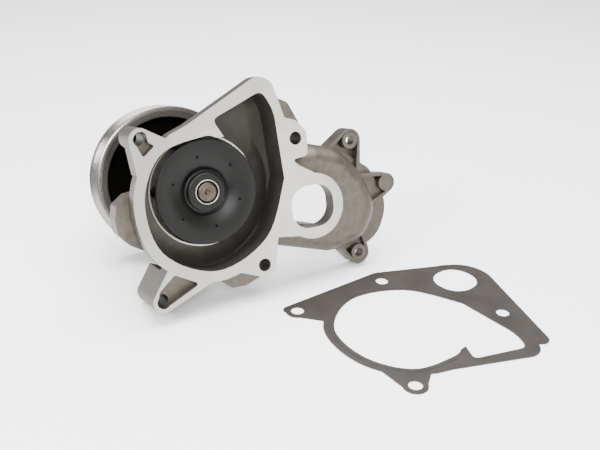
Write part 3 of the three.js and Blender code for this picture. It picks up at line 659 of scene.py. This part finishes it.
# %% Impeller disc
IMPELLER_R, DISC_FRONT, DISC_THICK, IMPELLER_BACK = 34.9, 2.6, 2.2, 20.3
IMPELLER_HUB_R, HUB_FRONT, INSERT_BORE = 12.9, 2.8, 8.5
GROOVE_AT = DISC_FRONT + 5
dish = [
    (IMPELLER_HUB_R, GROOVE_AT - 0.4, 0.5), (IMPELLER_HUB_R + 1.4, GROOVE_AT, 0.8),
    (IMPELLER_HUB_R + 3.8, GROOVE_AT - 1.6, 2.5), (23, DISC_FRONT + 1.1, 4.0),
    (29, DISC_FRONT + 0.2, 2.5), (IMPELLER_R, DISC_FRONT, 0.7),
]
behind = [(r, y + DISC_THICK, 0.6) for r, y, _ in reversed(dish)][:-1]
hub_front = [
    (INSERT_BORE, HUB_FRONT, 0.3), (IMPELLER_HUB_R - 0.8, HUB_FRONT, 0.4),
    (IMPELLER_HUB_R, HUB_FRONT + 0.8, 0.4),
]
hub_back = [
    (IMPELLER_HUB_R - 0.4, GROOVE_AT + DISC_THICK + 0.6, 1.0), (IMPELLER_HUB_R - 0.4, IMPELLER_BACK, 0.5),
    (INSERT_BORE, IMPELLER_BACK, 0.3),
]
disc = turned("impeller_disc", rounded(hub_front + dish + behind + hub_back, 0.3, 5), impeller_black)
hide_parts("impeller")
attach(disc, "rotor")


# %% Swept vanes, six times
VANES, VANE_THICK = 6, 2.2
VANE_SWEEP, SWEEP_BEND = 0.95, 0.8  # radians from hub to rim, and how fast they build up
STATIONS = 12
INTO_HUB, INTO_DISC, SHORT_OF_RIM = 0.8, 1.2, 0.6


def vane_mesh():
    """Two side lines of stations from the hub to the rim, joined by faces."""
    form = bmesh.new()
    root, tip = IMPELLER_HUB_R - INTO_HUB, IMPELLER_R - SHORT_OF_RIM
    sides = []
    for side in (-0.5, 0.5):
        line = []
        for k in range(STATIONS + 1):
            r = root + (tip - root) * k / STATIONS
            out = (r - IMPELLER_HUB_R + 1) / (IMPELLER_R - IMPELLER_HUB_R)
            a = VANE_SWEEP * out**SWEEP_BEND + side * VANE_THICK / r
            top = np.interp(r, [p[0] for p in dish], [p[1] for p in dish]) + INTO_DISC
            x, z = r * math.cos(a), r * math.sin(a)
            line.append([form.verts.new((x, y, z)) for y in (top, IMPELLER_BACK)])
        sides.append(line)
    low, high = sides
    for k in range(STATIONS):
        form.faces.new((low[k][0], low[k + 1][0], low[k + 1][1], low[k][1]))
        form.faces.new((high[k][0], high[k][1], high[k + 1][1], high[k + 1][0]))
        form.faces.new((low[k][1], low[k + 1][1], high[k + 1][1], high[k][1]))
        form.faces.new((low[k][0], high[k][0], high[k + 1][0], low[k + 1][0]))
    for k in (0, STATIONS):
        form.faces.new((low[k][0], low[k][1], high[k][1], high[k][0]))
    bmesh.ops.recalc_face_normals(form, faces=form.faces)
    mesh = bpy.data.meshes.new("vane")
    form.to_mesh(mesh)
    form.free()
    return mesh


vanes = copied_round("impeller_vanes", vane_mesh(), VANES, impeller_black)
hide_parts("impeller")
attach(vanes, "rotor")

# %% Peg ends, six dots on the disc
PEG_R, PEG_FLATNESS, PEG_RING_R, PEG_DEPTH = 0.95, 0.2, 24.0, DISC_FRONT + 0.95
FIRST_PEG_DEGREES = -39


def peg_mesh():
    form = bmesh.new()
    bmesh.ops.create_uvsphere(form, u_segments=16, v_segments=8, radius=PEG_R)
    bmesh.ops.scale(form, vec=(1, PEG_FLATNESS, 1), verts=form.verts)
    bmesh.ops.translate(form, vec=(PEG_RING_R, PEG_DEPTH, 0), verts=form.verts)
    mesh = bpy.data.meshes.new("peg")
    form.to_mesh(mesh)
    form.free()
    return mesh


pegs = copied_round("impeller_pegs", peg_mesh(), VANES, peg_black, math.radians(FIRST_PEG_DEGREES))
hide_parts("impeller")
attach(pegs, "rotor")

# %% [markdown]
# ## The shaft and its sleeve
# Only the end of the shaft shows, with the centre hole that the lathe held it by and the rings that
# facing left around it. Round it stands the steel sleeve that the impeller is moulded on.

# %% Shaft and sleeve
SHAFT_NOSE_R, SHAFT_R, SHAFT_FRONT, SHAFT_BACK = 6.4, 7.96, 1.6, PULLEY_BACK - 1
RACE_R, RACE_HALF, RACE_HALF_OPEN = SHAFT_R - 0.46, 1.2, 2.6
centre_hole = [(0, SHAFT_FRONT + 2.2), (1.4, SHAFT_FRONT + 1.0, 0.1), (2.0, SHAFT_FRONT, 0.2)]
facing_ring = [
    (3.3, SHAFT_FRONT, 0.1), (3.5, SHAFT_FRONT + 0.15, 0.1),
    (4.2, SHAFT_FRONT + 0.15, 0.1), (4.4, SHAFT_FRONT, 0.1),
]
nose = [
    (SHAFT_NOSE_R - 0.7, SHAFT_FRONT, 0.3), (SHAFT_NOSE_R, SHAFT_FRONT + 0.7, 0.3),
    (SHAFT_NOSE_R, IMPELLER_BACK - 0.8, 0.1), (SHAFT_R, IMPELLER_BACK, 0.1),
]
ball_race = [
    (SHAFT_R, JOINT_DEPTH - RACE_HALF_OPEN, 0.1), (RACE_R, JOINT_DEPTH - RACE_HALF, 0.2),
    (RACE_R, JOINT_DEPTH + RACE_HALF, 0.2), (SHAFT_R, JOINT_DEPTH + RACE_HALF_OPEN, 0.1),
]
back_end = [(SHAFT_R, SHAFT_BACK - 1, 0.2), (SHAFT_R - 1, SHAFT_BACK, 0.2), (0, SHAFT_BACK)]
shaft_profile = centre_hole + facing_ring + nose + ball_race + back_end
shaft = turned("shaft_ground", rounded(shaft_profile, 0.1, 3), shaft_steel, 96)
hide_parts("pump_shaft")
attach(shaft, "rotor")

SLEEVE_R, SLEEVE_OUT_R = SHAFT_NOSE_R + 0.3, SHAFT_NOSE_R + 1.8
SLEEVE_FRONT, SLEEVE_BACK = HUB_FRONT - 0.6, IMPELLER_BACK - 1.2
sleeve_profile = [
    (SLEEVE_R, SLEEVE_FRONT + 2.2), (SLEEVE_R + 0.7, SLEEVE_FRONT + 0.8), (SLEEVE_R + 0.95, SLEEVE_FRONT),
    (SLEEVE_OUT_R, SLEEVE_FRONT), (SLEEVE_OUT_R, SLEEVE_BACK), (SLEEVE_R, SLEEVE_BACK),
]
sleeve = turned("sleeve_turned", rounded(sleeve_profile, 0.2, 3), sleeve_steel, 96)
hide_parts("impeller_insert")
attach(sleeve, "rotor")

# %% [markdown]
# ## What the eye seldom sees
# The bearing and the seal sit inside the nose. Their solids are already right, so they stay as they
# are and only get their finish.

# %% Finishes for the solids that stay
finish_of = {
    "bearing_steel": bearing_steel, "rubber": nitrile, "stainless": stainless, "carbon": carbon,
    "ceramic": ceramic, "cage": polyamide, "shaft_steel": shaft_steel, "insert_steel": sleeve_steel,
    "casting": cast_skin, "gasket": coated_sheet, "impeller": impeller_black, "pulley_steel": turned_steel,
}
slots = {part["node"]: part["material_slot"] for part in frame["record"]["subparts"]}
for name, solid in frame["nodes"].items():
    solid.data.materials.clear()
    solid.data.materials.append(finish_of[slots[name]])
print(len(slots), "solids have a finish")
